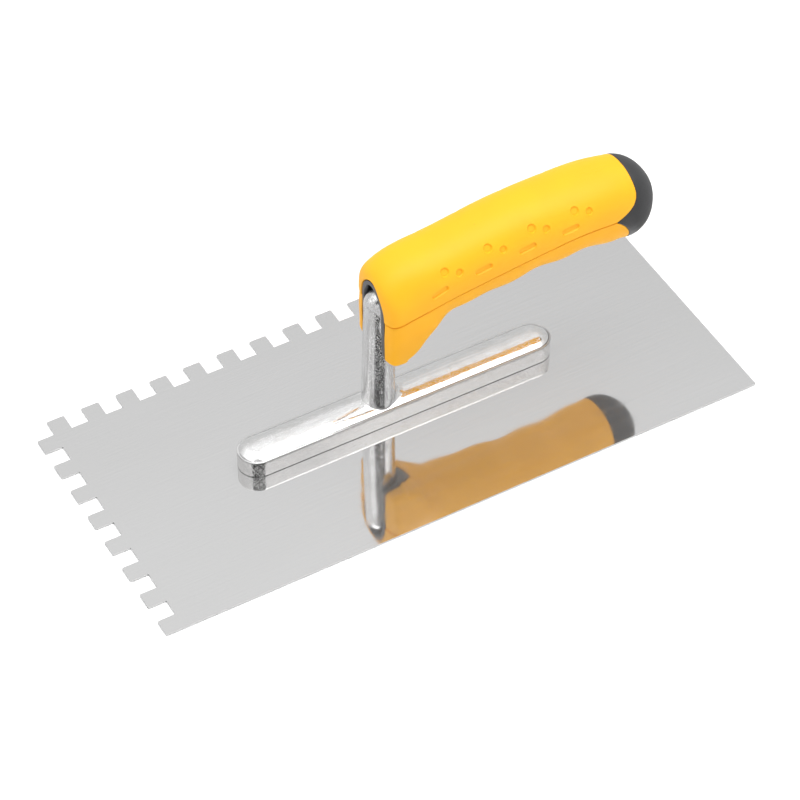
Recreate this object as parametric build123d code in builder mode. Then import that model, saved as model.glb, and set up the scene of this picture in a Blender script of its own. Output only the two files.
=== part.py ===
from build123d import *
import os
from math import copysign, cos, pi, radians, sin

# Notched trowel. Millimetres, +Z up, origin at the middle of the blade's underside.
# +X runs to the handle's butt and the plain short edge, +Y to the notched long edge.

# ---- Blade ----
blade_length = 280
blade_width = 128
blade_thickness = 0.7
notch = 8
notch_pitch = 2 * notch
tooth_corner_radius = 0.6

# ---- Mounting bar, the foot of the casting ----
bar_centre_x = 0.6
bar_length = 149
bar_width = 16.8
bar_wall_height = 8.5
bar_ledge = 0.85
crown_rise = 2.4
wall_top = blade_thickness + bar_wall_height

# ---- Rivets ----
rivet_count = 6
rivet_pitch = 25
rivet_radius = 2.0
rivet_head_radius = 3.4
rivet_depth = 6.0
rivet_gap = 0.05

# ---- Shank and tang ----
shank_foot_height = 17.0
shank_foot_x = -8.0
shank_foot_radius = 7.1
flare_front = 1.8
flare_rear = 5.5
flare_side = 0.2
flare_sink = 0.6
flare_steps = 6
elbow_height = 67.1
elbow_x = -6.6
elbow_radius = 6.65
neck_radius = 6.6
tang_slope = 3.8
tang_length = 90
tang_end_radius = 4.6
tang_gap = 0.15

# ---- Handle ----
# Each station: x and z of the top or front point, x and z of the underside point,
# half width, and fullness of the superellipse (2 is an ellipse, more is boxier).
handle_stations = [
    (-10.4, 41.4, -2.4, 41.4, 14.7, 4.0),
    (-10.5, 46.5, 4.2, 44.6, 15.5, 4.0),
    (-10.6, 55.0, 8.4, 49.6, 16.5, 4.1),
    (-11.0, 70.0, 13.6, 53.0, 17.2, 3.6),
    (-10.0, 80.2, 19.5, 54.5, 16.9, 2.6),
    (-5.5, 84.2, 23.0, 55.5, 16.6, 2.4),
    (14.5, 88.5, 35.4, 56.1, 16.5, 2.3),
    (44.0, 92.5, 51.0, 58.0, 16.8, 2.3),
    (75.0, 93.8, 75.0, 59.6, 17.2, 2.3),
    (97.5, 92.8, 97.0, 57.8, 17.0, 2.3),
    (105.4, 92.0, 105.0, 55.4, 16.3, 2.2),
]
dome_length = 15.9
dome_drop = 1.5
dome_angles = (15, 30, 44, 56, 67, 76, 83)
half_section_steps = 10
stations_between = 2
grip_thickness = 3.0
fit_gap = 0.1

# ---- Throat, where the shank enters the handle ----
throat_half_width = 9.5
throat_spring = 64.0
throat_rise = 14.6
throat_back_x = -3.0
throat_apex_x = 8.0
lining = 1.8
lining_recess = 0.3
channel_centre_x = -7.3
channel_rise = 12.4

# ---- Boundary between the grip and the end cap, seen from the side ----
boundary_top_x = 107.0
boundary_bend_z = 87.0
cusp = (95.3, 76.2)
boundary_low = (103.6, 64.5)

# ---- Retaining screw ----
screw_radius = 1.75
screw_length = 24
screw_head_radius = 3.5
screw_head_height = 2.6
washer_radius = 4.6
washer_thickness = 1.0
screw_seat = 8.0
screw_pocket_radius = 5.2
pilot_depth = 16.5

# ---- End cap's plug ----
plug_start = 104.0
plug_length = 21.0
plug_gap = 0.3

far = 200  # well past the whole object


def tang_plane(distance):
    """Plane across the tang's axis, a distance from the elbow, facing the butt."""
    slope = radians(tang_slope)
    x = elbow_x + distance * cos(slope)
    z = elbow_height + distance * sin(slope)
    return Plane(origin=(x, 0, z), x_dir=(0, 1, 0), z_dir=(cos(slope), 0, sin(slope)))


def half_section(side, half_width, half_height, fullness):
    """Points up one side of a section, from its underside to its top."""
    points = []
    for step in range(half_section_steps + 1):
        angle = pi * step / half_section_steps - pi / 2
        across = cos(angle) ** (2 / fullness) if 0 < step < half_section_steps else 0
        upward = copysign(abs(sin(angle)) ** (2 / fullness), sin(angle))
        points.append((side * half_width * across, half_height * upward))
    return points


def smoothed(stations):
    """The stations, with more between them on a Catmull-Rom curve."""
    ends = [stations[0], *stations, stations[-1]]
    result = []
    for before, start, end, after in zip(ends, ends[1:], ends[2:], ends[3:]):
        for step in range(stations_between + 1):
            t = step / (stations_between + 1)
            station = []
            for p, q, r, s in zip(before, start, end, after):
                bend = 2 * p - 5 * q + 4 * r - s
                twist = 3 * q - p - 3 * r + s
                station.append(q + ((r - p) * t + bend * t**2 + twist * t**3) / 2)
            result.append(tuple(station))
    return result + [stations[-1]]


def dome_stations(inset):
    """Stations of the butt, shrinking as a quarter ellipse."""
    top_x, top_z, under_x, under_z, half_width, fullness = handle_stations[-1]
    middle_x = (top_x + under_x) / 2
    middle_z = (top_z + under_z) / 2
    half_height = (top_z - under_z) / 2
    stations = []
    for angle in dome_angles:
        x = middle_x + (dome_length - inset) * sin(radians(angle))
        z = middle_z - dome_drop * sin(radians(angle))
        height = (half_height - inset) * cos(radians(angle)) + inset
        width = (half_width - inset) * cos(radians(angle)) + inset
        stations.append((x, z + height, x, z - height, width, fullness))
    return stations


def handle_form(inset, first_station):
    """The handle's outer form, or the same form shrunk by an inset."""
    stations = smoothed(handle_stations[first_station:]) + dome_stations(inset)
    with BuildPart() as form:
        for top_x, top_z, under_x, under_z, half_width, fullness in stations:
            under = Vector(under_x, 0, under_z)
            upward = Vector(top_x, 0, top_z) - under
            width = half_width - inset
            height = upward.length / 2 - inset
            plane = Plane(
                origin=under + upward * 0.5,
                x_dir=(0, 1, 0),
                z_dir=Vector(0, 1, 0).cross(upward),
            )
            with BuildSketch(plane):
                with BuildLine():
                    right = half_section(1, width, height, fullness)
                    left = reversed(half_section(-1, width, height, fullness))
                    Spline(*right, tangents=((1, 0), (-1, 0)))
                    Spline(*left, tangents=((-1, 0), (1, 0)))
                make_face()
        loft(ruled=True)
    return form.part


def arch(half_width, rise, length_from, length_to):
    """Tunnel along x with straight sides and a half-ellipse roof."""
    with BuildPart() as tunnel:
        with BuildSketch(Plane.YZ.offset(length_from)):
            with Locations((0, throat_spring)):
                Ellipse(half_width, rise)
            with Locations((0, throat_spring)):
                Rectangle(2 * half_width, 60, align=(Align.CENTER, Align.MAX))
        extrude(amount=length_to - length_from)
    return tunnel.part


def throat(gap):
    """Tunnel round the shank, closing to a point behind it."""
    half_width = throat_half_width - gap
    with BuildPart() as wedge:
        add(arch(half_width, throat_rise - gap, -40, throat_apex_x))
        with BuildSketch():
            with BuildLine():
                Polyline(
                    (-40, -half_width),
                    (throat_back_x, -half_width),
                    (throat_apex_x - gap, 0),
                    (throat_back_x, half_width),
                    (-40, half_width),
                    close=True,
                )
            make_face()
        extrude(amount=far, mode=Mode.INTERSECT)
    return wedge.part


def butt_side(shift):
    """Everything on the end cap's side of the wavy boundary, moved along x by a shift."""
    top = (boundary_top_x + shift, boundary_bend_z)
    point = (cusp[0] + shift, cusp[1])
    low = (boundary_low[0] + shift, boundary_low[1])
    with BuildPart() as region:
        with BuildSketch(Plane.XZ):
            with BuildLine():
                Line((far, far), (top[0], far))
                Line((top[0], far), top)
                TangentArc(top, point, tangent=(0, -1))
                ThreePointArc(point, (101.0 + shift, 71.4), low)
                Line(low, (low[0], 0))
                Line((low[0], 0), (far, 0))
                Line((far, 0), (far, far))
            make_face()
        extrude(amount=40, both=True)
    return region.part


outer_form = handle_form(0, 0)
grip_form = handle_form(grip_thickness, 2)
core_form = handle_form(grip_thickness + fit_gap, 2)
recessed_form = handle_form(lining_recess, 0)

# ---- Blade: thin sheet with square notches along one long and one short edge ----
with BuildPart() as blade:
    with BuildSketch():
        Rectangle(blade_length, blade_width)
        long_notches = int(blade_length / notch_pitch)
        for index in range(long_notches):
            x = -blade_length / 2 + notch_pitch * index
            with Locations((x, blade_width / 2)):
                Rectangle(notch, 2 * notch, align=(Align.MIN, Align.CENTER), mode=Mode.SUBTRACT)
        for index in range(int(blade_width / notch_pitch)):
            y = blade_width / 2 - notch_pitch * index
            with Locations((-blade_length / 2, y)):
                Rectangle(2 * notch, notch, align=(Align.CENTER, Align.MAX), mode=Mode.SUBTRACT)
        outer_corners = []
        for corner in vertices():
            on_short_edge = abs(corner.X) > blade_length / 2 - 1
            on_long_edge = abs(corner.Y) > blade_width / 2 - 1
            if on_short_edge or on_long_edge:
                outer_corners.append(corner)
        fillet(outer_corners, radius=tooth_corner_radius)
    extrude(amount=blade_thickness)
    with Locations((bar_centre_x, 0, 0)):
        with GridLocations(rivet_pitch, 0, rivet_count, 1):
            Cone(
                rivet_head_radius + rivet_gap,
                rivet_radius + rivet_gap,
                blade_thickness,
                align=(Align.CENTER, Align.CENTER, Align.MIN),
                mode=Mode.SUBTRACT,
            )
blade.part.label = "blade"

# ---- Rivets: countersunk, flush with the blade's underside ----
with BuildPart() as rivets:
    with Locations((bar_centre_x, 0, 0)):
        with GridLocations(rivet_pitch, 0, rivet_count, 1):
            Cone(
                rivet_head_radius,
                rivet_radius,
                blade_thickness,
                align=(Align.CENTER, Align.CENTER, Align.MIN),
            )
            Cylinder(
                rivet_radius,
                blade_thickness + rivet_depth,
                align=(Align.CENTER, Align.CENTER, Align.MIN),
            )
rivets.part.label = "rivets"

# ---- Casting: crowned bar, round shank, ball elbow and tapered tang in one piece ----
with BuildPart() as shank_casting:
    with BuildSketch(Plane.XY.offset(blade_thickness)):
        with Locations((bar_centre_x, 0)):
            SlotOverall(bar_length, bar_width)
    extrude(amount=bar_wall_height)
    crown_half_width = bar_width / 2 - bar_ledge
    end_distance = (bar_length - bar_width) / 2
    with BuildSketch(Plane.YZ.offset(bar_centre_x - end_distance)) as crown_section:
        with BuildLine():
            ThreePointArc(
                (-crown_half_width, wall_top),
                (0, wall_top + crown_rise),
                (crown_half_width, wall_top),
            )
            Line((crown_half_width, wall_top), (-crown_half_width, wall_top))
        make_face()
    extrude(amount=2 * end_distance)
    for end_x in (bar_centre_x - end_distance, bar_centre_x + end_distance):
        with BuildSketch(Plane.XZ):
            with BuildLine():
                outer = (end_x + crown_half_width, wall_top)
                peak = (end_x, wall_top + crown_rise)
                foot = (end_x, wall_top)
                crown_radius = (crown_half_width**2 + crown_rise**2) / (2 * crown_rise)
                RadiusArc(outer, peak, -crown_radius)
                Line(peak, foot)
                Line(foot, outer)
            make_face()
        revolve(axis=Axis((end_x, 0, 0), (0, 0, 1)))
    flare_height = shank_foot_height - wall_top + flare_sink
    for step in range(flare_steps + 1):
        turn = pi / 2 * step / flare_steps
        spread = 1 - sin(turn)
        half_x = shank_foot_radius + (flare_front + flare_rear) / 2 * spread
        centre_x = shank_foot_x + (flare_rear - flare_front) / 2 * spread
        with BuildSketch(Plane.XY.offset(shank_foot_height - flare_height * cos(turn))):
            with Locations((centre_x, 0)):
                Ellipse(half_x, shank_foot_radius + flare_side * spread)
    loft(ruled=True)
    with BuildSketch(Plane.XY.offset(shank_foot_height)):
        with Locations((shank_foot_x, 0)):
            Circle(shank_foot_radius)
    with BuildSketch(Plane.XY.offset(elbow_height)):
        with Locations((elbow_x, 0)):
            Circle(neck_radius)
    loft()
    with Locations((elbow_x, 0, elbow_height)):
        Sphere(elbow_radius)
    with BuildSketch(tang_plane(0)):
        Circle(neck_radius)
    with BuildSketch(tang_plane(tang_length)):
        Circle(tang_end_radius)
    loft()
    with BuildSketch(tang_plane(tang_length)):
        Circle(screw_radius + rivet_gap)
    extrude(amount=-pilot_depth, mode=Mode.SUBTRACT)
    with BuildSketch(Plane.XY.offset(blade_thickness)):
        with Locations((bar_centre_x, 0)):
            with GridLocations(rivet_pitch, 0, rivet_count, 1):
                Circle(rivet_radius + rivet_gap)
    extrude(amount=rivet_depth + 0.3, mode=Mode.SUBTRACT)
shank_casting.part.label = "shank_casting"

# ---- Core: hard inner handle with the throat's lining and the tang's socket ----
with BuildPart() as handle_core:
    add(core_form)
    add(throat(fit_gap).intersect(recessed_form))
    channel_half_width = throat_half_width - fit_gap - lining
    with BuildSketch(Plane.XY):
        with Locations((channel_centre_x, 0)):
            Circle(channel_half_width)
            Rectangle(40, 2 * channel_half_width, align=(Align.MAX, Align.CENTER))
    extrude(amount=elbow_height, mode=Mode.SUBTRACT)
    with Locations((elbow_x, 0, elbow_height)):
        Sphere(elbow_radius + 4 * tang_gap, mode=Mode.SUBTRACT)
    add(arch(channel_half_width, channel_rise, -40, elbow_x), mode=Mode.SUBTRACT)
    with BuildSketch(tang_plane(0)):
        Circle(elbow_radius + tang_gap)
    with BuildSketch(tang_plane(tang_length + 0.5)):
        Circle(tang_end_radius + tang_gap)
    loft(mode=Mode.SUBTRACT)
    with BuildSketch(tang_plane(tang_length)):
        Circle(screw_radius + tang_gap)
    extrude(amount=far, mode=Mode.SUBTRACT)
    with BuildSketch(tang_plane(tang_length + screw_seat)):
        Circle(screw_pocket_radius)
    extrude(amount=far, mode=Mode.SUBTRACT)
handle_core.part.label = "handle_core"

# ---- Grip: soft sleeve over the core, open at the throat ----
with BuildPart() as grip_sleeve:
    add(outer_form)
    add(grip_form, mode=Mode.SUBTRACT)
    add(throat(0), mode=Mode.SUBTRACT)
    add(butt_side(0), mode=Mode.SUBTRACT)
grip_sleeve.part.label = "grip_sleeve"

# ---- End cap: hard dome over the core's rear, with a plug in the screw pocket ----
with BuildPart() as end_cap:
    add(outer_form.intersect(butt_side(fit_gap)))
    add(grip_form, mode=Mode.SUBTRACT)
    with BuildSketch(tang_plane(plug_start)):
        Circle(screw_pocket_radius - plug_gap)
    extrude(amount=plug_length)
end_cap.part.label = "end_cap"

# ---- Retaining screw and washer: hold the core on the tang ----
with BuildPart() as washer:
    with BuildSketch(tang_plane(tang_length + screw_seat)):
        Circle(washer_radius)
        Circle(screw_radius + tang_gap, mode=Mode.SUBTRACT)
    extrude(amount=washer_thickness)
washer.part.label = "washer"

with BuildPart() as retaining_screw:
    with BuildSketch(tang_plane(tang_length + screw_seat + washer_thickness)):
        Circle(screw_head_radius)
    extrude(amount=screw_head_height)
    with BuildSketch(tang_plane(tang_length + screw_seat + washer_thickness)):
        Circle(screw_radius)
    extrude(amount=-screw_length)
retaining_screw.part.label = "retaining_screw"

os.makedirs("parts", exist_ok=True)
for built in (blade, rivets, shank_casting, handle_core, grip_sleeve, end_cap, washer, retaining_screw):
    export_step(built.part, f"parts/{built.part.label}.step")
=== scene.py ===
import math

import bmesh
import bpy
import numpy as np
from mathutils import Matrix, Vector


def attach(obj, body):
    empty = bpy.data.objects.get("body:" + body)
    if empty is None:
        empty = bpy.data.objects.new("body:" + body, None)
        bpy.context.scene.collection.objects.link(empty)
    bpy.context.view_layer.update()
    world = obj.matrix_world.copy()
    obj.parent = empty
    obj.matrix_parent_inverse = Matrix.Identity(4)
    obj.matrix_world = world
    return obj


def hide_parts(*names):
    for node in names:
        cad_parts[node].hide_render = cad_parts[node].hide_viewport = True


# Looks of the notched trowel. Shapes are worked out in millimetres, with the origin at the middle
# of the blade's underside, +X to the butt, +Y to the notched long edge and +Z up. They are turned
# into metres when a mesh is made.

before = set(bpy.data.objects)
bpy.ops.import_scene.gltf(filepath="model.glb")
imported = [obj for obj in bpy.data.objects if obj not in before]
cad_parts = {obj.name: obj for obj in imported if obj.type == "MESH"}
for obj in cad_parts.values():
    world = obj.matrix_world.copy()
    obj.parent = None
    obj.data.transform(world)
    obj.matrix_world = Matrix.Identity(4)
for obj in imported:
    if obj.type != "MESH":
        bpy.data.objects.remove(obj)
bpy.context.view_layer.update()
MM = 0.001

# ---- Handle form ----
# Each station: x and z of the top or front point, x and z of the underside point,
# half width, and fullness of the superellipse (2 is an ellipse, more is boxier).
HANDLE_STATIONS = (
    (-10.4, 41.4, -2.4, 41.4, 14.7, 4.0),
    (-10.5, 46.5, 4.2, 44.6, 15.5, 4.0),
    (-10.6, 55.0, 8.4, 49.6, 16.5, 4.1),
    (-11.0, 70.0, 13.6, 53.0, 17.2, 3.6),
    (-10.0, 80.2, 19.5, 54.5, 16.9, 2.6),
    (-5.5, 84.2, 23.0, 55.5, 16.6, 2.4),
    (14.5, 88.5, 35.5, 56.0, 16.5, 2.3),
    (44.0, 92.5, 51.0, 58.0, 16.8, 2.3),
    (75.0, 93.7, 75.0, 59.6, 17.2, 2.3),
    (97.5, 92.8, 97.0, 57.8, 17.0, 2.3),
    (105.4, 92.0, 105.0, 55.4, 16.3, 2.2),
)
DOME_LENGTH = 15.9
DOME_DROP = 1.5
LOBE_ROUNDING = 2.4
RING_POINTS = 264
RING_SPACING = 0.45
SEAM = 0.02

# ---- Grip details ----
GRIP_THICKNESS = 2.2
LIP_RADIUS = 0.45
LIP_STEPS = 4
CREASE_STEP = 0.35
CREASE_GROOVE = 0.8
CREASE_HALF_WIDTH = 0.5
CREASE_FADE = 9.0
CREASE_END = 98.0
CREASE_SMOOTHING = 1.5
CREASE_PATH = (
    (-10.4, 63.2), (-8.6, 64.2), (-6.0, 65.4), (-3.4, 66.4), (0.5, 67.2), (8.4, 68.0), (16.5, 68.9),
    (24.3, 70.2), (39.8, 72.4), (55.4, 74.4), (71.2, 76.3), (79.1, 76.9), (87.0, 76.9), (95.0, 76.2),
)
WAVE_DEPTH = 0.45
WAVE_PITCH = 23.3
WAVE_PHASE = 25.0
WAVE_FRONT = 16.0
WAVE_REAR = 103.0
MARK_PITCH = 20.4
MARK_DEPTH = 0.68
MARK_WALL = 0.42
# Each mark of a group: x, z, half length of its straight part, and radius.
MARK_SHAPES = ((15.7, 83.1, 0, 2.0), (21.9, 81.2, 0, 1.75), (12.2, 75.5, 2.7, 1.45))
# Each group: lift of all its marks, further lift of the long one, and slope of the long one.
MARK_GROUPS = ((0.0, 0.2, 0.3), (3.3, 0.2, 0.16), (5.2, 0.6, 0.14), (5.7, 1.3, 0.08))
PARTING_DEPTH = 0.12
PARTING_FRONT = 84.0

# ---- Throat and butt boundary ----
THROAT_HALF_WIDTH = 9.5
THROAT_SPRING = 64.0
THROAT_RISE = 14.6
THROAT_FULLNESS = 2.0
THROAT_LIP = 0.3
THROAT_BACK = -3.0
THROAT_APEX = 9.5
THROAT_FRONT = 12.0
WEDGE_TOP = 62.0
LINING = 2.1
LINING_RECESS = 0.35
CORE_GAP = 0.25
CHANNEL_X = -7.3
CHANNEL_RISE = 12.4
CHANNEL_FLOOR = 20.0
BUTT_TOP = (107.0, 120.0)
BUTT_UPPER = ((107.0, 87.0), (107.0, 80.0), (101.0, 78.5), (95.3, 76.2))
BUTT_LOWER = ((95.3, 76.2), (98.5, 74.5), (102.5, 70.0), (103.9, 64.0))
BUTT_FOOT = ((104.2, 58.0), (104.4, 30.0))

# ---- Casting ----
BAR_X = 0.6
BAR_HALF_LENGTH = 74.5
BAR_HALF_WIDTH = 8.4
BAR_FOOT = 0.7
BAR_WALL_TOP = 9.2
BAR_LEDGE = 0.85
BAR_EDGE = 0.3
CROWN_RISE = 2.2
CROWN_FULLNESS = 2.6
SHANK_STATIONS = (
    (-15.1, 17.0, -0.9, 17.0, 7.1, 2.0),
    (-14.6, 35.0, -0.7, 35.0, 6.95, 2.0),
    (-13.9, 58.0, -0.3, 56.0, 6.7, 2.0),
    (-13.75, 64.0, -0.2, 58.3, 6.6, 2.0),
    (-13.6, 67.6, -0.1, 59.6, 6.6, 2.0),
    (-12.6, 69.6, 0.3, 60.3, 6.6, 2.0),
    (-9.6, 71.7, 1.0, 60.6, 6.6, 2.0),
    (-6.3, 73.5, 1.8, 60.8, 6.6, 2.0),
    (3.0, 74.2, 4.6, 61.1, 6.5, 2.0),
    (82.9, 77.7, 83.5, 68.5, 4.6, 2.0),
)
TANG_STATION = 7
RIVET_COUNT = 6
RIVET_PITCH = 25.0
RIVET_RADIUS = 2.0
RIVET_DEPTH = 6.0
ELBOW = np.array([-6.6, 0.0, 67.1])
TANG_SLOPE = math.radians(3.8)
TANG_WAY = np.array([math.cos(TANG_SLOPE), 0.0, math.sin(TANG_SLOPE)])
TANG_LENGTH = 90.0
SOCKET_GAP = 0.15
HOLE_GAP = 0.06
SCREW_RADIUS = 1.75
PILOT_DEPTH = 17.7
SCREW_POCKET_RADIUS = 5.2
SCREW_POCKET_LENGTH = 40
SCREW_SEAT = 8.0
FLARE_FRONT = 0.5
FLARE_REAR = 5.5
FLARE_SIDE = 0.25
FLARE_SINK = 0.12

# ---- Colours of the mouldings: colour, and the shade it drifts to ----
GRIP_COLOURS = ((1.0, 0.475, 0.012), (0.98, 0.455, 0.013))
# Deep orange painted as shade in the grip's crease, marks and other hollows
GRIP_PAINTED_SHADE = (0.88, 0.33, 0.006)
CAP_COLOURS = ((0.03, 0.03, 0.032), (0.038, 0.038, 0.040))
CORE_COLOURS = ((0.1, 0.1, 0.106), (0.11, 0.11, 0.116))
# Near black painted as shade deep in the core's channel and holes
CORE_PAINTED_SHADE = (0.002, 0.002, 0.002)

# ---- Stage, in metres and degrees ----
FLOOR_SIZE = 6.0
FLOOR_DROP = 0.0002
CAMERA_AZIMUTH = -29.52
CAMERA_ELEVATION = 46.43
CAMERA_DISTANCE = 1.3744
CAMERA_TARGET = (0.00367, 0.00214, 0.0007)
CAMERA_LENS = 146.27
LAMP_LEVEL = 4.0
LEFT_LEVEL = 0.28
FRONT_LEVEL = 0.06
DARK_SHARE = 0.97
DARK_WAY = (-0.358, -0.934)


# ======== Curves and sections ========
def smooth_curve(rows):
    """Natural cubic spline through rows, with knots by the distance the section's ends move."""
    rows = np.array(rows, float)
    steps = np.diff(rows[:, :4], axis=0)
    gaps = (np.hypot(steps[:, 0], steps[:, 1]) + np.hypot(steps[:, 2], steps[:, 3])) / 2
    knots = np.concatenate([[0], np.cumsum(gaps)])
    count = len(rows)
    matrix = np.eye(count)
    target = np.zeros_like(rows)
    slopes = np.diff(rows, axis=0) / gaps[:, None]
    for i in range(1, count - 1):
        matrix[i, i - 1:i + 2] = gaps[i - 1], 2 * (gaps[i - 1] + gaps[i]), gaps[i]
        target[i] = 6 * (slopes[i] - slopes[i - 1])
    bends = np.linalg.solve(matrix, target)

    def at(places):
        index = np.clip(np.searchsorted(knots, places) - 1, 0, count - 2)
        gap = gaps[index][:, None]
        back = (knots[index + 1] - places)[:, None] / gap
        ahead = 1 - back
        curve = (back**3 - back) * bends[index] + (ahead**3 - ahead) * bends[index + 1]
        return back * rows[index] + ahead * rows[index + 1] + curve * gap**2 / 6

    return at, knots[-1]


def ring(station, points):
    """Evenly spaced points round a section, starting at its top or front point."""
    top_x, top_z, under_x, under_z, half_width, fullness = station
    angle = np.linspace(0, 2 * np.pi, 8 * points + 1)
    across = np.sign(np.sin(angle)) * np.abs(np.sin(angle)) ** (2 / fullness)
    upward = np.sign(np.cos(angle)) * np.abs(np.cos(angle)) ** (2 / fullness)
    x = (top_x + under_x) / 2 + (top_x - under_x) / 2 * upward
    z = (top_z + under_z) / 2 + (top_z - under_z) / 2 * upward
    outline = np.column_stack([x, half_width * across, z])
    length = np.concatenate([[0], np.cumsum(np.linalg.norm(np.diff(outline, axis=0), axis=1))])
    places = np.linspace(0, length[-1], points, endpoint=False)
    return np.column_stack([np.interp(places, length, outline[:, axis]) for axis in range(3)])


def shrunk(station, inset, drop):
    """The first station made smaller by an inset and lowered by a drop."""
    top_x, top_z, under_x, under_z, half_width, fullness = station
    return (top_x + inset, top_z - drop, under_x - inset, under_z - drop, half_width - inset, fullness)


def handle_rings():
    """All rings of the closed handle form, from the lobes' underside to the butt's pole."""
    at, length = smooth_curve(HANDLE_STATIONS)
    start = LOBE_ROUNDING
    first = at(np.array([start]))[0]
    sole = shrunk(first, LOBE_ROUNDING, LOBE_ROUNDING)
    middle_x = (sole[0] + sole[2]) / 2
    stations = []
    for share in np.arange(0.04, 1, 0.04):
        half = (sole[0] - sole[2]) / 2 * share
        stations.append((middle_x + half, sole[1], middle_x - half, sole[3], sole[4] * share, sole[5]))
    for angle in np.linspace(90, 0, 9)[:-1]:
        bend = math.radians(angle)
        inset = LOBE_ROUNDING * (1 - math.cos(bend))
        stations.append(shrunk(first, inset, LOBE_ROUNDING * math.sin(bend)))
    stations.extend(at(np.arange(start, length, RING_SPACING)))
    last = at(np.array([length]))[0]
    middle_x, middle_z = (last[0] + last[2]) / 2, (last[1] + last[3]) / 2
    half_height = (last[1] - last[3]) / 2
    lean = (last[0] - last[2]) / 2
    for angle in np.concatenate([np.arange(0, 80, 1.8), np.linspace(80, 89.2, 8)]):
        sine, cosine = math.sin(math.radians(angle)), math.cos(math.radians(angle))
        x = middle_x + DOME_LENGTH * sine
        z = middle_z - DOME_DROP * sine
        side = lean * cosine
        height = half_height * cosine
        stations.append((x + side, z + height, x - side, z - height, last[4] * cosine, last[5]))
    return np.array([ring(station, RING_POINTS) for station in stations])


def surface_normals(rings):
    """Outward normals of a grid of rings."""
    along = np.gradient(rings, axis=0)
    around = np.roll(rings, -1, axis=1) - np.roll(rings, 1, axis=1)
    normals = np.cross(around, along)
    normals /= np.linalg.norm(normals, axis=2)[..., None] + 1e-12
    outward = rings - rings.mean(axis=1, keepdims=True)
    if np.sum(normals * outward) < 0:
        normals = -normals
    return normals


def bezier(points, places):
    """Points of a cubic Bezier curve."""
    a, b, c, d = np.array(points, float)
    t = places[:, None]
    return a * (1 - t)**3 + 3 * b * t * (1 - t)**2 + 3 * c * t**2 * (1 - t) + d * t**3


def ease(value):
    """Smooth step from 0 to 1."""
    value = np.clip(value, 0, 1)
    return value * value * (3 - 2 * value)


# ======== Level functions: negative on one side of a feature, positive on the other ========
def throat_level(p):
    """Distance to the edge of the opening round the shank, negative inside it."""
    x, y, z = p.T
    across = np.abs(y) / THROAT_HALF_WIDTH + 1e-6
    upward = np.maximum(z - THROAT_SPRING, 0) / THROAT_RISE
    size = (across**THROAT_FULLNESS + upward**THROAT_FULLNESS) ** (1 / THROAT_FULLNESS)
    steep = np.hypot(
        (across / size) ** (THROAT_FULLNESS - 1) / THROAT_HALF_WIDTH,
        (upward / size) ** (THROAT_FULLNESS - 1) / THROAT_RISE,
    )
    tunnel = (size - 1) / steep
    slope = THROAT_HALF_WIDTH / (THROAT_APEX - THROAT_BACK)
    wedge = (np.sqrt(y**2 + 1.0) - slope * (THROAT_APEX - x)) / math.hypot(1, slope)
    behind = np.maximum(wedge, x - THROAT_APEX)
    low = np.where(z < WEDGE_TOP, behind, -1.0)
    inside_front = np.where(x > THROAT_FRONT, 5.0, tunnel)
    return np.maximum(inside_front, low)


def butt_edge(z):
    """Place along x of the boundary between grip and end cap, at a height."""
    places = np.linspace(0, 1, 60)
    path = np.vstack([[BUTT_TOP], bezier(BUTT_UPPER, places), bezier(BUTT_LOWER, places), BUTT_FOOT])
    order = np.argsort(path[:, 1])
    return np.interp(z, path[order, 1], path[order, 0])


def butt_level(p):
    """Negative on the grip's side of the wavy boundary, positive on the end cap's side."""
    x, z = p[:, 0], p[:, 2]
    edge = butt_edge(z)
    slope = (butt_edge(z + 0.1) - edge) / 0.1
    return (x - edge) / np.sqrt(1 + slope**2)


def crease_level(p):
    """Height above the crease line along the handle's sides."""
    path = np.array(CREASE_PATH)
    shifts = (-CREASE_SMOOTHING, 0, CREASE_SMOOTHING)
    height = sum(np.interp(p[:, 0] + shift, path[:, 0], path[:, 1]) for shift in shifts) / 3
    return p[:, 2] - height


def mark_places(rings):
    """Centres, directions, half lengths and radii of the sunk marks on both sides."""
    flat = rings.reshape(-1, 3)
    found = []
    for index, (lift, long_lift, slope) in enumerate(MARK_GROUPS):
        direction = np.array([1.0, 0.0, slope]) / math.hypot(1, slope)
        for x, z, half, radius in MARK_SHAPES:
            x = x + MARK_PITCH * index
            z = z + lift + (long_lift if half else 0)
            for side in (-1, 1):
                other_side = flat[:, 1] * side < 3
                distance = np.hypot(flat[:, 0] - x, flat[:, 2] - z) + 50 * other_side
                nearest = flat[np.argmin(distance)]
                found.append((np.array([x, nearest[1], z]), direction, half, radius))
    return found


def mark_level(shrink):
    """Level function of the marks' rims, drawn in by shrink: negative inside a mark."""
    def level(p):
        nearest = np.full(len(p), 99.0)
        for centre, direction, half, radius in marks:
            away = p - centre
            along = np.clip(away @ direction, -half, half)
            distance = np.linalg.norm(away - along[:, None] * direction, axis=1)
            nearest = np.minimum(nearest, distance - radius + shrink)
        return nearest
    return level


# ======== Mesh tools ========
def grid_mesh(rings, normals=None):
    """Closed BMesh of a grid of rings, keeping each point's smooth normal where one is given."""
    if normals is None:
        normals = np.ones_like(rings)
    bm = bmesh.new()
    keep = bm.verts.layers.float_vector.new("smooth")
    count = rings.shape[1]
    rows = []
    for points, directions in zip(rings, normals):
        row = []
        for point, direction in zip(points, directions):
            vert = bm.verts.new(point)
            vert[keep] = direction
            row.append(vert)
        rows.append(row)
    for low, high in zip(rows, rows[1:]):
        for i in range(count):
            j = (i + 1) % count
            bm.faces.new((low[i], low[j], high[j], high[i]))
    bm.faces.new(rows[0][::-1])
    bm.faces.new(rows[-1])
    bmesh.ops.recalc_face_normals(bm, faces=bm.faces)
    return bm


def positions(bm):
    bm.verts.index_update()
    bm.verts.ensure_lookup_table()
    return np.array([v.co[:] for v in bm.verts])


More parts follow.
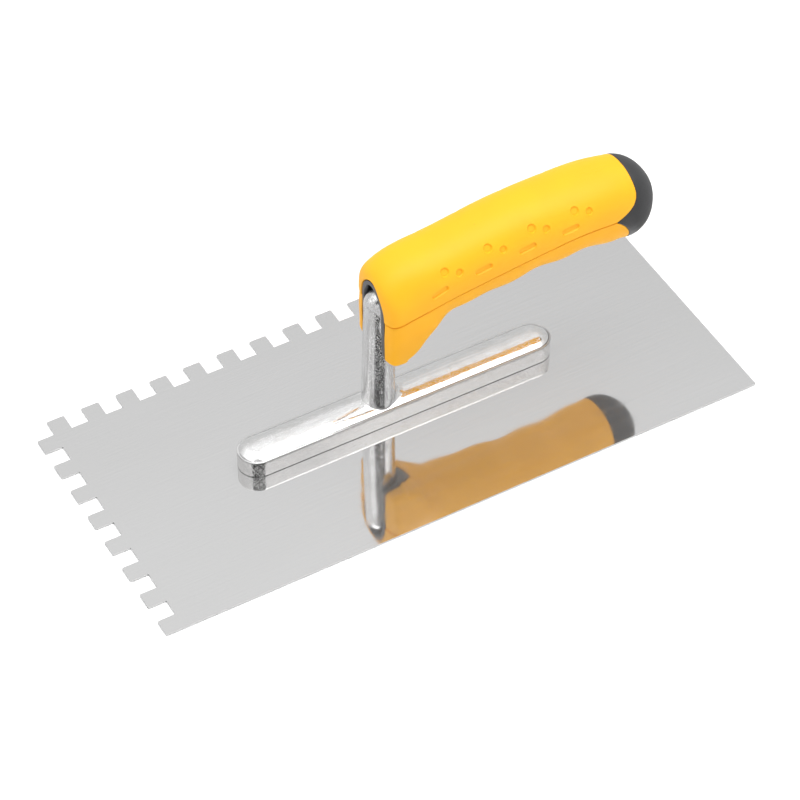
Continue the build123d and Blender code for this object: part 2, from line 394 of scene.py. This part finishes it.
def split_along(bm, level, snap=0.03):
    """Cut edges and faces where the level function is zero."""
    bm.faces.index_update()
    value = level(positions(bm))
    value[np.abs(value) < snap] = 0
    on_line = {v for v in bm.verts if value[v.index] == 0}
    crossing = []
    for edge in bm.edges:
        a, b = value[edge.verts[0].index], value[edge.verts[1].index]
        if a * b < 0:
            crossing.append((edge, edge.verts[0], a / (a - b)))
    for edge, vert, place in crossing:
        _, made = bmesh.utils.edge_split(edge, vert, place)
        on_line.add(made)
    touched = {face for vert in on_line for face in vert.link_faces}
    for face in sorted(touched, key=lambda f: f.index):
        cut = [v for v in face.verts if v in on_line]
        if len(cut) == 2 and not any(set(e.verts) == set(cut) for e in face.edges):
            bmesh.utils.face_split(face, cut[0], cut[1])


def keep_side(bm, level, sign):
    """Delete faces on the other side of a level that has been split along."""
    bm.faces.ensure_lookup_table()
    centres = np.array([f.calc_center_median()[:] for f in bm.faces])
    value = level(centres) * sign
    gone = [f for f, v in zip(bm.faces, value) if v < 0]
    bmesh.ops.delete(bm, geom=gone, context="FACES")


def keep_largest(bm):
    """Delete all faces but those of the largest connected region."""
    for face in bm.faces:
        face.tag = False
    regions = []
    for first in bm.faces:
        if first.tag:
            continue
        first.tag = True
        region = [first]
        for face in region:
            for edge in face.edges:
                for other in edge.link_faces:
                    if not other.tag:
                        other.tag = True
                        region.append(other)
        regions.append(region)
    largest = max(regions, key=len)
    gone = [face for region in regions if region is not largest for face in region]
    bmesh.ops.delete(bm, geom=gone, context="FACES")


def displace(bm, amount):
    """Move each vertex along its smooth normal by amount(positions, normals)."""
    keep = bm.verts.layers.float_vector["smooth"]
    p = positions(bm)
    n = np.array([v[keep][:] for v in bm.verts])
    n /= np.linalg.norm(n, axis=1)[:, None] + 1e-12
    moved = p + n * amount(p, n)[:, None]
    for vert, place in zip(bm.verts, moved):
        vert.co = place


def give_thickness(bm, depth, lip):
    """Turn an open surface into a closed shell with rounded rims."""
    keep = bm.verts.layers.float_vector["smooth"]
    faces = list(bm.faces)
    rim_edges = [e for e in bm.edges if len(e.link_faces) == 1]
    rim_verts = [v for v in bm.verts if any(len(e.link_faces) == 1 for e in v.link_edges)]
    inner = {v: bm.verts.new(v.co - v[keep].normalized() * depth) for v in list(bm.verts)}
    rows = {}
    for vert in rim_verts:
        edges = [e for e in vert.link_edges if len(e.link_faces) == 1]
        ends = [e.other_vert(vert).co for e in edges]
        tangent = (ends[0] - ends[1]).normalized()
        normal = vert[keep].normalized()
        away = tangent.cross(normal).normalized()
        face_centre = edges[0].link_faces[0].calc_center_median()
        if away.dot(face_centre - (vert.co + edges[0].other_vert(vert).co) / 2) > 0:
            away = -away
        row = [vert]
        for step in range(1, LIP_STEPS + 1):
            bend = math.pi / 2 * step / LIP_STEPS
            place = vert.co + away * lip * math.sin(bend) - normal * lip * (1 - math.cos(bend))
            row.append(bm.verts.new(place))
        row.append(bm.verts.new(vert.co + away * lip - normal * depth))
        row.append(inner[vert])
        rows[vert] = row
    for face in faces:
        bm.faces.new([inner[v] for v in reversed(face.verts)])
    for edge in rim_edges:
        loop = edge.link_loops[0]
        a, b = loop.vert, loop.link_loop_next.vert
        for k in range(len(rows[a]) - 1):
            bm.faces.new((rows[b][k], rows[a][k], rows[a][k + 1], rows[b][k + 1]))


def shade_smooth(mesh, sharp_angle):
    """Smooth shading, broken at edges sharper than the angle in degrees."""
    for polygon in mesh.polygons:
        polygon.use_smooth = True
    mesh.set_sharp_from_angle(angle=math.radians(sharp_angle))


def take_place(piece, node):
    """Show the piece in the place of the CAD node."""
    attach(piece, "root")
    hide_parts(node)
    return piece


def finish_mesh(bm, name, sharp_angle=40):
    """Make an object from a BMesh in millimetres."""
    bmesh.ops.scale(bm, vec=(MM, MM, MM), verts=bm.verts)
    bmesh.ops.recalc_face_normals(bm, faces=bm.faces)
    mesh = bpy.data.meshes.new(name)
    bm.to_mesh(mesh)
    bm.free()
    shade_smooth(mesh, sharp_angle)
    piece = bpy.data.objects.new(name, mesh)
    bpy.context.scene.collection.objects.link(piece)
    return piece


def combine(piece, other, operation):
    """Apply a Boolean of the piece with the other, which is used up."""
    modifier = piece.modifiers.new("combine", "BOOLEAN")
    modifier.operation = operation
    modifier.solver = "EXACT"
    modifier.object = other
    graph = bpy.context.evaluated_depsgraph_get()
    made = bpy.data.meshes.new_from_object(piece.evaluated_get(graph))
    piece.modifiers.clear()
    piece.data = made
    bpy.data.objects.remove(other)


# ======== Handle pieces ========
handle = handle_rings()
handle_normals = surface_normals(handle)
marks = mark_places(handle)


def grip_relief(p, n):
    """Crease, finger waves, sunk marks and parting line, as movement along the normal."""
    above = crease_level(p)
    side = ease((np.abs(p[:, 1]) - 4) / 4)
    step = np.clip((CREASE_HALF_WIDTH - above) / (2 * CREASE_HALF_WIDTH), 0, 1)
    fade = 1 - ease((-above - 1) / CREASE_FADE)
    groove = np.clip(1 - np.abs(above) / CREASE_HALF_WIDTH, 0, 1)
    moved = -(CREASE_STEP * step * fade + CREASE_GROOVE * groove) * side * ease((CREASE_END - p[:, 0]) / 4)
    wave = np.cos(2 * np.pi * (p[:, 0] - WAVE_PHASE) / WAVE_PITCH)
    reach = ease((p[:, 0] - WAVE_FRONT) / 8) * ease((WAVE_REAR - p[:, 0]) / 6)
    moved += WAVE_DEPTH * wave * reach * ease((-n[:, 2] - 0.1) / 0.6)
    moved -= MARK_DEPTH * np.clip(-mark_level(0)(p) / MARK_WALL, 0, 1)
    parting = (np.abs(p[:, 1]) < 0.05) & (n[:, 2] > 0.5)
    moved -= PARTING_DEPTH * parting * ease((p[:, 0] - PARTING_FRONT) / 8)
    return moved


def cut_to(bm, level, sign):
    """Keep one side of a level function, cut cleanly along its zero."""
    split_along(bm, level)
    keep_side(bm, level, sign)


def build_grip():
    bm = grid_mesh(handle, handle_normals)
    cut_to(bm, lambda p: butt_level(p) + THROAT_LIP + SEAM, -1)
    cut_to(bm, lambda p: throat_level(p) - THROAT_LIP, 1)
    split_along(bm, lambda p: crease_level(p) - CREASE_HALF_WIDTH)
    split_along(bm, crease_level)
    split_along(bm, lambda p: crease_level(p) + CREASE_HALF_WIDTH)
    split_along(bm, mark_level(0), 0.02)
    split_along(bm, mark_level(MARK_WALL), 0.02)
    displace(bm, grip_relief)
    give_thickness(bm, GRIP_THICKNESS, THROAT_LIP)
    return take_place(finish_mesh(bm, "grip"), "grip_sleeve")


def build_cap():
    bm = grid_mesh(handle, handle_normals)
    cut_to(bm, lambda p: butt_level(p) - LIP_RADIUS - SEAM, 1)
    keep_largest(bm)
    give_thickness(bm, GRIP_THICKNESS, LIP_RADIUS)
    return take_place(finish_mesh(bm, "butt_cap"), "end_cap")


def core_sink(p, n):
    """Depth of the core: below the grip, and up to the surface within the throat."""
    rise = ease((-throat_level(p) - 0.1) / 0.35)
    return -(GRIP_THICKNESS + CORE_GAP) + rise * (GRIP_THICKNESS + CORE_GAP - LINING_RECESS)


def build_core():
    bm = grid_mesh(handle, handle_normals)
    split_along(bm, lambda p: throat_level(p) + 0.12)
    split_along(bm, lambda p: throat_level(p) + 0.45)
    displace(bm, core_sink)
    made = finish_mesh(bm, "core", sharp_angle=50)
    take_place(made, "handle_core")
    screw_start = ELBOW + (TANG_LENGTH - 1) * TANG_WAY
    pocket_start = ELBOW + (TANG_LENGTH + SCREW_SEAT) * TANG_WAY
    combine(made, channel_cutter(), "DIFFERENCE")
    combine(made, socket_cutter(), "DIFFERENCE")
    screw_hole = hole_cutter(screw_start, (SCREW_SEAT + 2) * TANG_WAY, SCREW_RADIUS + SOCKET_GAP)
    combine(made, screw_hole, "DIFFERENCE")
    pocket = hole_cutter(pocket_start, SCREW_POCKET_LENGTH * TANG_WAY, SCREW_POCKET_RADIUS)
    combine(made, pocket, "DIFFERENCE")
    return made


def channel_cutter():
    """Tunnel from the front to the elbow, with a round-backed shaft below it."""
    half = THROAT_HALF_WIDTH - 0.1 - LINING
    turn = np.linspace(0, np.pi, 49)
    arch = [(half * math.cos(a), THROAT_SPRING + CHANNEL_RISE * math.sin(a)) for a in turn]
    arch += [(-half, CHANNEL_FLOOR), (half, CHANNEL_FLOOR)]
    rings = np.array([[(x, y, z) for y, z in arch] for x in (-40.0, CHANNEL_X)])
    front = finish_mesh(grid_mesh(rings), "front_tunnel")
    around = np.linspace(0, 2 * np.pi, 72, endpoint=False)
    rings = []
    for angle in np.concatenate([[-30.0], np.linspace(0, 88, 20)]):
        bend = math.radians(max(angle, 0))
        radius = (half + 0.02) * math.cos(bend)
        height = CHANNEL_FLOOR if angle < 0 else THROAT_SPRING + (CHANNEL_RISE + 0.1) * math.sin(bend)
        x = CHANNEL_X + radius * np.cos(around)
        rings.append(np.column_stack([x, radius * np.sin(around), np.full(72, height)]))
    combine(front, finish_mesh(grid_mesh(np.array(rings)), "shaft"), "UNION")
    return front


def socket_cutter():
    """Socket round the tang, a little larger than the tang."""
    at, length = smooth_curve(SHANK_STATIONS[TANG_STATION:])
    growth = np.array([0, SOCKET_GAP, 0, -SOCKET_GAP, SOCKET_GAP, 0])
    rings = np.array([ring(station + growth, 72) for station in at(np.linspace(0, length, 40))])
    return finish_mesh(grid_mesh(rings), "socket")


# ======== Casting ========
def crown_height(away):
    """Height of the bar's crowned top at a distance from its middle line."""
    share = np.minimum(away / (BAR_HALF_WIDTH - BAR_LEDGE), 1)
    return BAR_WALL_TOP + 0.1 + CROWN_RISE * (1 - share**CROWN_FULLNESS)


def build_bar():
    """Stadium-shaped bar: wall, ledge and crown."""
    half = BAR_HALF_WIDTH
    reach = BAR_HALF_LENGTH - half
    crown_half = half - BAR_LEDGE
    profile = [(0.35, BAR_FOOT), (half - 0.5, BAR_FOOT), (half - 0.45, BAR_FOOT + 0.12)]
    profile += [(half - 0.1, BAR_FOOT + 0.16), (half, BAR_FOOT + 0.3)]
    for height in np.linspace(BAR_FOOT + 1.2, BAR_WALL_TOP - BAR_EDGE, 8):
        profile.append((half, height))
    for angle in (18, 36, 54, 72):
        bend = math.radians(angle)
        height = BAR_WALL_TOP - BAR_EDGE * (1 - math.sin(bend))
        profile.append((half - BAR_EDGE * (1 - math.cos(bend)), height))
    profile.append((crown_half + 0.12, BAR_WALL_TOP + 0.08))
    for away in crown_half * np.linspace(0.985, 0.05, 40) ** 0.8:
        profile.append((away, float(crown_height(away))))
    turn = np.linspace(-np.pi / 2, np.pi / 2, 41)
    straight = np.linspace(-1, 1, 61)[1:-1]
    path = [(BAR_X + reach, a) for a in turn] + [(BAR_X - s * reach, np.pi / 2) for s in straight]
    path += [(BAR_X - reach, a + np.pi) for a in turn] + [(BAR_X + s * reach, -np.pi / 2) for s in straight]
    rings = []
    for away, height in profile:
        rings.append([(x + away * math.cos(a), away * math.sin(a), height) for x, a in path])
    return finish_mesh(grid_mesh(np.array(rings)), "casting")


def build_shank():
    """Shank from its flared foot, over the elbow and back along the tang."""
    at, length = smooth_curve(SHANK_STATIONS)
    points = 144
    rings = []
    first = ring(at(np.array([0.0]))[0], points)
    centre = np.array([(SHANK_STATIONS[0][0] + SHANK_STATIONS[0][2]) / 2, 0.0])
    away = first[:, :2] - centre
    radius = np.linalg.norm(away, axis=1)
    direction = away / radius[:, None]
    forward = -direction[:, 0]
    flare = np.where(forward > 0, FLARE_FRONT, FLARE_REAR) * forward**2 + FLARE_SIDE * (1 - forward**2)
    foot = centre + direction * (radius + flare)[:, None]
    base = crown_height(np.abs(foot[:, 1])) - FLARE_SINK
    buried = np.column_stack([foot * 0 + centre + direction * 5.5, np.full(points, BAR_WALL_TOP - 3)])
    rings.append(buried)
    for angle in np.linspace(0, 90, 13):
        bend = math.radians(angle)
        place = centre + direction * (radius + flare * (1 - math.sin(bend)))[:, None]
        height = base + flare * (1 - math.cos(bend))
        rings.append(np.column_stack([place, height]))
    top_of_flare = rings[-1][:, 2]
    for share in np.linspace(0, 1, 8)[1:]:
        height = top_of_flare + (SHANK_STATIONS[0][1] - top_of_flare) * share
        rings.append(np.column_stack([centre + away, height]))
    for station in at(np.linspace(0.8, 80, 100)):
        rings.append(ring(station, points))
    for station in at(np.linspace(84, length, 24)):
        rings.append(ring(station, points))
    return finish_mesh(grid_mesh(np.array(rings)), "shank")


def hole_cutter(start, direction, radius):
    """Closed round rod from a start point along a direction, as long as the direction."""
    start, direction = np.array(start), np.array(direction)
    along = direction / np.linalg.norm(direction)
    side = np.cross(along, (0.0, 1.0, 0.0))
    across = np.cross(along, side)
    turn = np.linspace(0, 2 * np.pi, 40, endpoint=False)
    circle = radius * (np.cos(turn)[:, None] * side + np.sin(turn)[:, None] * across)
    rings = np.array([start + circle, start + direction + circle])
    return finish_mesh(grid_mesh(rings), "hole")


def build_casting():
    """Bar and shank in one, with blind holes for the rivets and the screw."""
    made = build_bar()
    combine(made, build_shank(), "UNION")
    for index in range(RIVET_COUNT):
        x = BAR_X + RIVET_PITCH * (index - (RIVET_COUNT - 1) / 2)
        hole = hole_cutter((x, 0.0, BAR_FOOT - 1), (0.0, 0.0, RIVET_DEPTH + 1.3), RIVET_RADIUS + HOLE_GAP)
        combine(made, hole, "DIFFERENCE")
    tang_end = ELBOW + (TANG_LENGTH + 1) * TANG_WAY
    combine(made, hole_cutter(tang_end, -PILOT_DEPTH * TANG_WAY, SCREW_RADIUS + HOLE_GAP), "DIFFERENCE")
    shade_smooth(made.data, 35)
    return take_place(made, "shank_casting")


# ======== Materials ========
class Nodes:
    """Short way of adding and linking shader nodes."""

    def __init__(self, tree):
        self.tree = tree

    def add(self, kind, settings=None, **inputs):
        made = self.tree.nodes.new("ShaderNode" + kind)
        for name, value in (settings or {}).items():
            setattr(made, name, value)
        for name, value in inputs.items():
            self.feed(made.inputs[name.replace("_", " ")], value)
        return made

    def feed(self, socket, value):
        if isinstance(value, bpy.types.NodeSocket):
            self.tree.links.new(value, socket)
        else:
            socket.default_value = value

    def math(self, operation, first, second=0.0):
        made = self.add("Math", {"operation": operation})
        self.feed(made.inputs[0], first)
        self.feed(made.inputs[1], second)
        return made.outputs[0]

    def product(self, *values):
        made = values[0]
        for value in values[1:]:
            made = self.math("MULTIPLY", made, value)
        return made

    def largest(self, *values):
        made = values[0]
        for value in values[1:]:
            made = self.math("MAXIMUM", made, value)
        return made

    def length(self, first, second):
        """Length of a vector of two numbers."""
        squares = self.math("ADD", self.product(first, first), self.product(second, second))
        return self.math("SQRT", squares)

    def remap(self, value, low, high, to_low=0.0, to_high=1.0):
        made = self.add("MapRange", {"interpolation_type": "SMOOTHSTEP"})
        for socket, number in zip(made.inputs, (value, low, high, to_low, to_high)):
            self.feed(socket, number)
        return made.outputs[0]

    def band(self, value, middle, outer, inner, level=1.0):
        """Level within inner of the middle, falling to nothing at outer."""
        distance = self.math("ABSOLUTE", self.math("SUBTRACT", value, middle))
        return self.remap(distance, outer, inner, 0.0, level)

    def noise(self, scale, stretch=(1, 1, 1), detail=3.0, roughness=0.5):
        """Noise over the object's own coordinates in metres, 0 to 1."""
        place = self.add("TexCoord").outputs["Object"]
        turned = self.add("Mapping", Vector=place, Scale=stretch).outputs[0]
        made = self.add("TexNoise", Vector=turned, Scale=scale, Detail=detail, Roughness=roughness)
        return made.outputs["Fac"]

    def specks(self, scale, size, share):
        """Sparse spots: 1 in a spot, 0 elsewhere."""
        place = self.add("TexCoord").outputs["Object"]
        cells = self.add("TexVoronoi", Vector=place, Scale=scale)
        chosen = self.add("SeparateColor", Color=cells.outputs["Color"]).outputs[0]
        near = self.remap(cells.outputs["Distance"], size, size * 0.5)
        return self.product(near, self.math("LESS_THAN", chosen, share))

    def mix(self, factor, first, second):
        made = self.add("Mix", {"data_type": "RGBA"})
        self.feed(made.inputs["Factor"], factor)
        self.feed(made.inputs[6], first)
        self.feed(made.inputs[7], second)
        return made.outputs[2]

    def blend(self, factor, first, second):
        """Number between first and second."""
        change = self.math("SUBTRACT", second, first)
        return self.math("ADD", first, self.product(factor, change))

    def bump(self, height, distance, strength=1.0, normal=None):
        made = self.add("Bump", Height=height, Distance=distance, Strength=strength)
        if normal is not None:
            self.feed(made.inputs["Normal"], normal)
        return made.outputs[0]

    def metal(self, colour, roughness, normal):
        settings = {"Base_Color": colour, "Metallic": 1.0, "Roughness": roughness, "Normal": normal}
        return self.add("BsdfPrincipled", **settings).outputs[0]

    def mix_shaders(self, share, first, second):
        made = self.add("MixShader", Fac=share)
        self.feed(made.inputs[1], first)
        self.feed(made.inputs[2], second)
        return made.outputs[0]

    def xyz(self, vector):
        return self.add("SeparateXYZ", Vector=vector).outputs

    def seen_by_reflection(self):
        return self.add("LightPath").outputs["Is Glossy Ray"]


def start_material(name):
    material = bpy.data.materials.new(name)
    material.use_nodes = True
    material.node_tree.nodes.clear()
    return material, Nodes(material.node_tree)


def grey(level, warmth=0.0):
    return (level * (1 + warmth), level, level * (1 - warmth), 1)


def close_material(nodes, shader):
    end = nodes.add("OutputMaterial")
    nodes.feed(end.inputs["Surface"], shader)


def blade_material():
    """Rolled stainless sheet: sharp reflection under a haze of fine lines along its length."""
    material, nodes = start_material("rolled_steel")
    lines = nodes.noise(2600, (0.012, 1, 1), 4.0, 0.65)
    broad = nodes.noise(14, (0.35, 1, 1), 3.0)
    smear = nodes.noise(160, (0.1, 1, 1), 3.0)
    spots = nodes.specks(90, 0.035, 0.05)
    tone = nodes.mix(lines, grey(0.61), grey(0.59))
    tone = nodes.mix(nodes.remap(broad, 0.35, 0.65, 0.0, 0.4), tone, grey(0.58, 0.004))
    tone = nodes.mix(nodes.product(spots, 0.45), tone, grey(0.2))
    # Painted highlight: the blade's cut edges are given a brighter, more reflective tone so they show as a
    # bright line.
    facing_up = nodes.xyz(nodes.add("NewGeometry").outputs["Normal"])[2]
    cut_edge_highlight = nodes.remap(nodes.math("ABSOLUTE", facing_up), 0.6, 0.4)
    tone = nodes.mix(cut_edge_highlight, tone, grey(0.95))
    normal = nodes.bump(broad, 0.0004, 0.25)
    sharp = nodes.metal(tone, nodes.remap(smear, 0.3, 0.7, 0.035, 0.075), normal)
    hazy = nodes.metal(tone, nodes.remap(lines, 0.3, 0.7, 0.45, 0.6), normal)
    haze = nodes.remap(nodes.mix(0.5, lines, smear), 0.3, 0.7, 0.115, 0.155)
    haze = nodes.product(haze, nodes.blend(nodes.seen_by_reflection(), 1.0, 0.35))
    close_material(nodes, nodes.mix_shaders(haze, sharp, hazy))
    return material


def casting_material():
    """Polished aluminium casting: ripples drawn out by the polishing, pits, painted shade in the corners
    and at the foot, and a wall darker towards its left end.
    """
    material, nodes = start_material("polished_casting")
    x, y, z = nodes.xyz(nodes.add("TexCoord").outputs["Object"])
    upright = nodes.remap(z, 0.012, 0.016)
    along = nodes.noise(420, (0.07, 1, 0.6), 3.0, 0.5)
    upward = nodes.noise(650, (1, 1, 0.035), 4.0, 0.6)
    cloud = nodes.noise(220, (0.5, 1, 0.7), 4.0, 0.6)
    pits = nodes.noise(2600, (1, 1, 0.8), 3.0, 0.7)

    straight_half = (BAR_HALF_LENGTH - BAR_HALF_WIDTH) * MM
    crown_edge = (BAR_HALF_WIDTH - BAR_LEDGE) * MM
    rim_line = BAR_HALF_WIDTH * MM - 0.00012
    past_middle = nodes.math("ABSOLUTE", nodes.math("SUBTRACT", x, BAR_X * MM))
    past_end = nodes.math("MAXIMUM", nodes.math("SUBTRACT", past_middle, straight_half), 0.0)
    away = nodes.length(past_end, y)
    # Painted shade: the corner at the crown's edge, the ledge and the rim near the top, stronger on the
    # near side, and the foot where the bar sits on the blade are darkened. The wall is also made darker
    # towards its left end.
    near_top = nodes.band(z, 0.0093, 0.0006, 0.0003)
    near_side = nodes.remap(y, 0.004, -0.002, 0.15, 1.0)
    corner = nodes.band(away, crown_edge, 0.0003, 0.0001, 0.88)
    ledge = nodes.remap(away, crown_edge, crown_edge + 0.0001, 0.0, 0.42)
    rim = nodes.band(away, rim_line, 0.0002, 0.00005, 0.7)
    wall = nodes.product(nodes.remap(z, 0.0092, 0.0089), nodes.remap(away, crown_edge, crown_edge + 0.0003))
    foot = nodes.remap(z, 0.00105, 0.0009, 0.0, 0.5)
    left_wall_darkening = nodes.product(wall, nodes.remap(x, -0.01, -0.05, 0.0, 0.3))
    shade_and_left_darkening = nodes.product(nodes.largest(corner, ledge, rim), near_top, near_side)
    shade_and_left_darkening = nodes.largest(shade_and_left_darkening, foot, left_wall_darkening)

    tone = nodes.mix(nodes.remap(cloud, 0.35, 0.7), grey(0.79), grey(0.74, 0.006))
    streak = nodes.product(upright, nodes.remap(upward, 0.42, 0.62, 0.0, 0.45))
    tone = nodes.mix(streak, tone, grey(0.5, 0.006))
    tone = nodes.mix(wall, tone, grey(0.8, 0.012))
    # Painted shade in the corners, on the ledge, at the rim and at the foot; the wall darker towards its
    # left end
    tone = nodes.mix(shade_and_left_darkening, tone, grey(0.12))
    ripple_height = nodes.blend(wall, nodes.blend(upright, along, upward), 0.5)
    normal = nodes.bump(ripple_height, 0.00025, 0.4)
    normal = nodes.bump(nodes.remap(pits, 0.54, 0.68), 0.00007, 0.7, normal)
    sharp = nodes.metal(tone, nodes.remap(cloud, 0.3, 0.7, 0.05, 0.11), normal)
    hazy = nodes.metal(tone, 0.5, normal)
    pocks = nodes.product(nodes.specks(1300, 0.36, 0.3), upright, 0.3)
    haze = nodes.largest(nodes.remap(cloud, 0.3, 0.7, 0.015, 0.05), pocks)
    haze = nodes.largest(haze, nodes.product(ledge, near_top, 1.3))
    close_material(nodes, nodes.mix_shaders(haze, sharp, hazy))
    return material


def fastener_material(name, level, turned):
    """Drawn or turned metal with fine marks."""
    material, nodes = start_material(name)
    marks_of_tool = nodes.noise(2500, turned, 3.0, 0.6)
    cloud = nodes.noise(500, (1, 1, 1), 3.0)
    tone = nodes.mix(marks_of_tool, grey(level), grey(level * 0.8))
    normal = nodes.bump(marks_of_tool, 0.00002, 0.6)
    close_material(nodes, nodes.metal(tone, nodes.remap(cloud, 0.3, 0.7, 0.22, 0.38), normal))
    return material


def polymer_material(name, colours, grain, shine, shade_colour=None, reach=0.0, span=(0.1, 0.7)):
    """Moulded plastic or rubber: fine grain, uneven sheen and a few specks of dust.

    Where a shade colour is given, it is painted as shade in places that are closed in within the reach.
    """
    colour, shade = colours
    material, nodes = start_material(name)
    fine = nodes.noise(grain, (1, 1, 1), 4.0, 0.65)
    broad = nodes.noise(60, (1, 1, 1), 3.0)
    spots = nodes.specks(140, 0.05, 0.05)
    tone = nodes.mix(nodes.remap(broad, 0.3, 0.7), (*colour, 1), (*shade, 1))
    tone = nodes.mix(nodes.product(spots, 0.35), tone, (*[c * 0.45 for c in colour], 1))
    if shade_colour:
        # Painted shade: the tone darkens to the given shade colour in creases, marks and hollows, by
        # ambient occlusion.
        open_air = nodes.add("AmbientOcclusion", {"samples": 8}, Distance=reach).outputs["AO"]
        tone = nodes.mix(nodes.remap(open_air, *span), (*shade_colour, 1), tone)
    shader = nodes.add(
        "BsdfPrincipled",
        Base_Color=tone,
        Roughness=nodes.remap(fine, 0.3, 0.7, 0.45, 0.57),
        Specular_IOR_Level=shine,
        Normal=nodes.bump(fine, 0.00004, 0.35),
    )
    close_material(nodes, shader.outputs[0])
    return material


def floor_material():
    """White sweep; it is seen a little darker in reflections."""
    material, nodes = start_material("white_sweep")
    mottle = nodes.noise(9, (1, 1, 1), 3.0)
    bright = nodes.mix(mottle, grey(0.86), grey(0.88))
    tone = nodes.mix(nodes.seen_by_reflection(), bright, grey(0.5))
    shader = nodes.add("BsdfPrincipled", Base_Color=tone, Roughness=0.9)
    close_material(nodes, shader.outputs[0])
    return material


def give(piece, material):
    piece.data.materials.clear()
    piece.data.materials.append(material)


# ======== Scene ========
def build_stage():
    bm = bmesh.new()
    bmesh.ops.create_grid(bm, x_segments=1, y_segments=1, size=FLOOR_SIZE)
    mesh = bpy.data.meshes.new("floor")
    bm.to_mesh(mesh)
    bm.free()
    floor = bpy.data.objects.new("floor", mesh)
    bpy.context.scene.collection.objects.link(floor)
    floor.location.z = -FLOOR_DROP
    give(floor, floor_material())


def build_camera():
    camera = bpy.data.objects.new("camera", bpy.data.cameras.new("camera"))
    bpy.context.scene.collection.objects.link(camera)
    azimuth, elevation = math.radians(CAMERA_AZIMUTH), math.radians(CAMERA_ELEVATION)
    back = Vector((
        math.sin(azimuth) * math.cos(elevation),
        -math.cos(azimuth) * math.cos(elevation),
        math.sin(elevation),
    ))
    camera.location = Vector(CAMERA_TARGET) + back * CAMERA_DISTANCE
    camera.rotation_euler = (-back).to_track_quat("-Z", "Y").to_euler()
    camera.data.sensor_width = 36
    camera.data.lens = CAMERA_LENS
    camera.data.clip_start = 0.05
    camera.data.clip_end = 30
    bpy.context.scene.camera = camera


def build_light():
    """Soft studio: grey round the horizon, large soft lights overhead and to the left, dark in front."""
    world = bpy.data.worlds.new("studio")
    bpy.context.scene.world = world
    world.use_nodes = True
    world.node_tree.nodes.clear()
    nodes = Nodes(world.node_tree)
    x, y, z = nodes.xyz(nodes.add("TexCoord").outputs["Generated"])
    sky = nodes.remap(z, 0.58, 0.79, 0.71, 1.07)
    left = nodes.product(nodes.remap(x, -0.02, -0.18), nodes.remap(z, 0.4, 0.6), LEFT_LEVEL)
    lamp = nodes.product(nodes.remap(y, 0.28, 0.17), nodes.remap(x, 0.64, 0.42))
    lamp = nodes.product(lamp, nodes.remap(z, 0.70, 0.86), nodes.remap(x, -0.62, -0.3), LAMP_LEVEL)
    front = nodes.product(nodes.remap(y, -0.1, -0.5), nodes.remap(z, 0.55, 0.4), FRONT_LEVEL)
    facing = nodes.math("ADD", nodes.product(x, DARK_WAY[0]), nodes.product(y, DARK_WAY[1]))
    facing = nodes.math("DIVIDE", facing, nodes.math("ADD", nodes.length(x, y), 0.0001))
    dark = nodes.product(nodes.remap(facing, 0.72, 0.87), nodes.remap(z, 0.965, 0.925))
    dark = nodes.product(dark, nodes.remap(z, 0.4, 0.55), DARK_SHARE)
    level = nodes.math("ADD", nodes.math("ADD", nodes.math("ADD", sky, left), lamp), front)
    level = nodes.product(level, nodes.math("SUBTRACT", 1.0, dark))
    shade = nodes.add("Background", Color=(1, 1, 1, 1), Strength=level)
    end = nodes.add("OutputWorld")
    nodes.feed(end.inputs["Surface"], shade.outputs[0])
    bpy.context.scene.view_settings.view_transform = "Standard"


grip = build_grip()
cap = build_cap()
core = build_core()
casting = build_casting()
give(grip, polymer_material("yellow_grip", GRIP_COLOURS, 3200, 0.3, GRIP_PAINTED_SHADE, 0.0014, (0.4, 0.9)))
give(cap, polymer_material("dark_cap", CAP_COLOURS, 2400, 0.45))
give(core, polymer_material("dark_core", CORE_COLOURS, 2400, 0.5, CORE_PAINTED_SHADE, 0.004))
give(casting, casting_material())
give(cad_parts["blade"], blade_material())
give(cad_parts["rivets"], fastener_material("drawn_aluminium", 0.7, (1, 1, 0.05)))
give(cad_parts["retaining_screw"], fastener_material("plated_screw", 0.55, (0.05, 1, 1)))
give(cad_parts["washer"], fastener_material("plated_washer", 0.6, (0.05, 1, 1)))
build_stage()
build_camera()
build_light()
